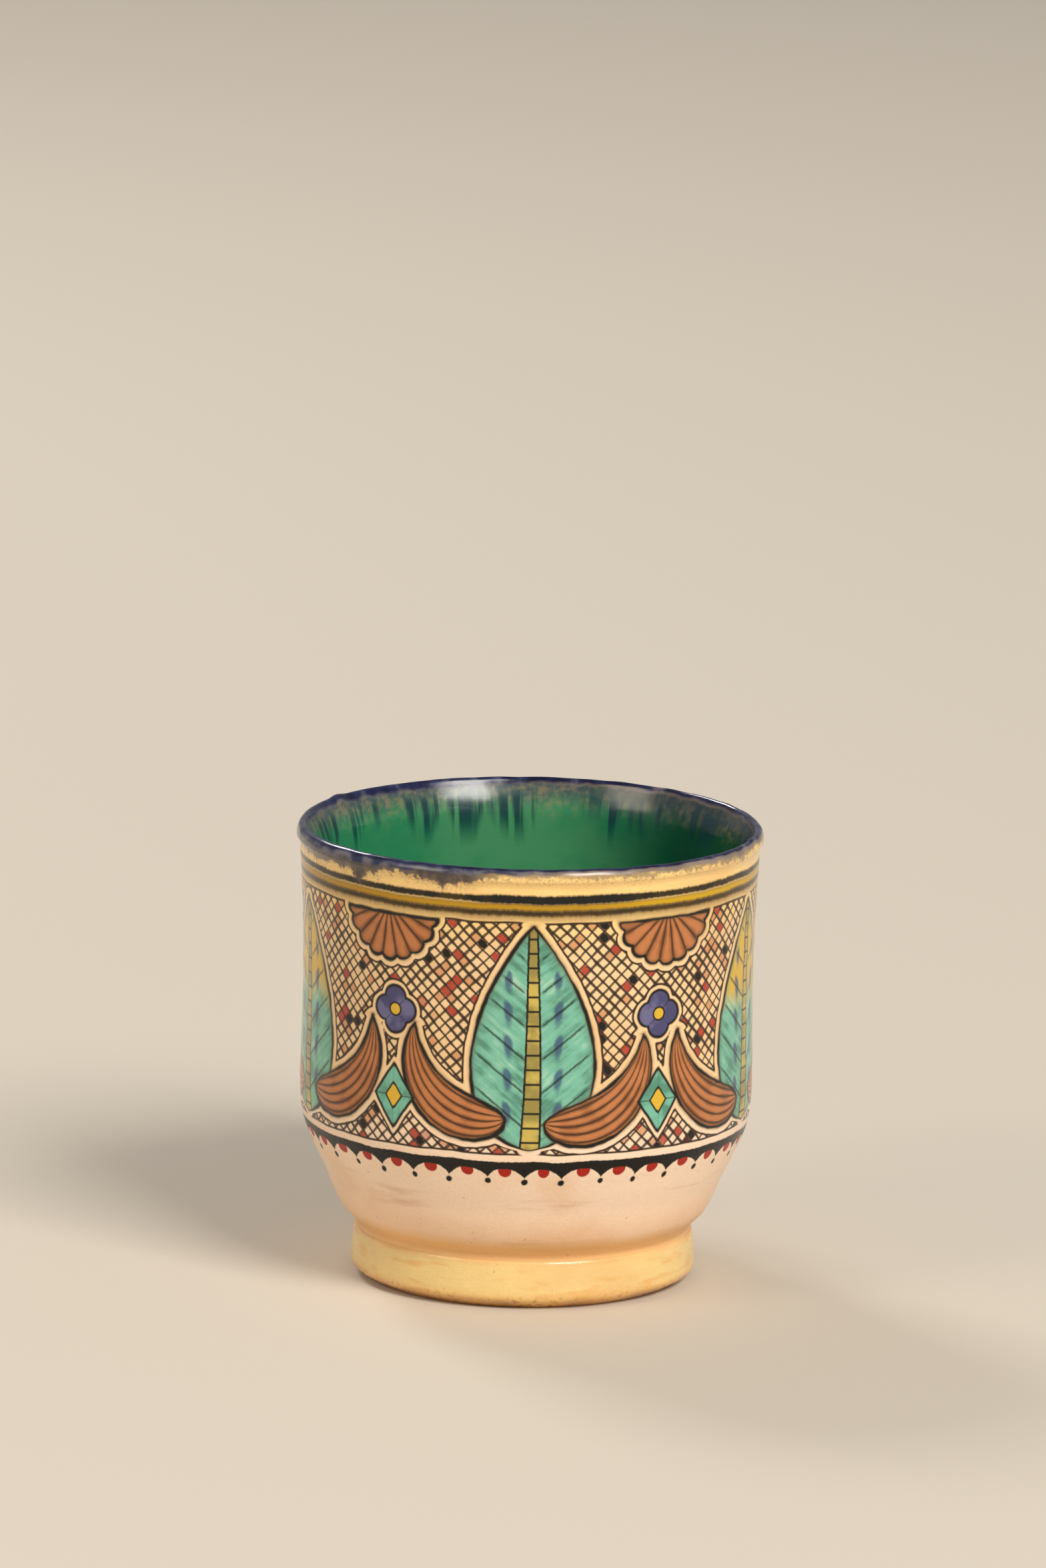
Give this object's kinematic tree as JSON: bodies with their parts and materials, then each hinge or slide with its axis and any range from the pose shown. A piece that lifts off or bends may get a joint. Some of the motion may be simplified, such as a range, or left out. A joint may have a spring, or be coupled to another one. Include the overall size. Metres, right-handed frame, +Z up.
{
  "type": "mug",
  "caption": "Hand-thrown pottery mug with a flared lip, tapered bowl, turned foot ring, pulled strap handle, green glazed inside and blue glazed rim.",
  "frame": {"origin": "on the table, under the middle of the outline seen from above, handle included", "axes": "+Z up along the mug's axis, +Y from the mug towards its handle, X across it"},
  "size_m": [0.086, 0.1148, 0.0844],
  "materials": {
    "painted_clay": "cream slip, hand-painted in bands under a satin clear glaze",
    "yellow_foot": "yellow ochre slip under a clear gloss glaze",
    "orange_lute": "slip fillet with pooled amber glaze",
    "handle_slip": "ochre slip under a satin clear glaze",
    "handle_lute": "ochre slip under a satin clear glaze",
    "cobalt_glaze": "dark blue gloss glaze that runs",
    "green_glaze": "emerald green gloss glaze"
  },
  "bodies": {
    "root": {"thrown_body": "painted_clay", "foot_ring": "yellow_foot", "foot_lute": "orange_lute", "handle": "handle_slip", "upper_handle_lute": "handle_lute", "lower_handle_lute": "handle_lute", "rim_glaze": "cobalt_glaze", "glaze_lining": "green_glaze"}
  },
  "joints": []
}
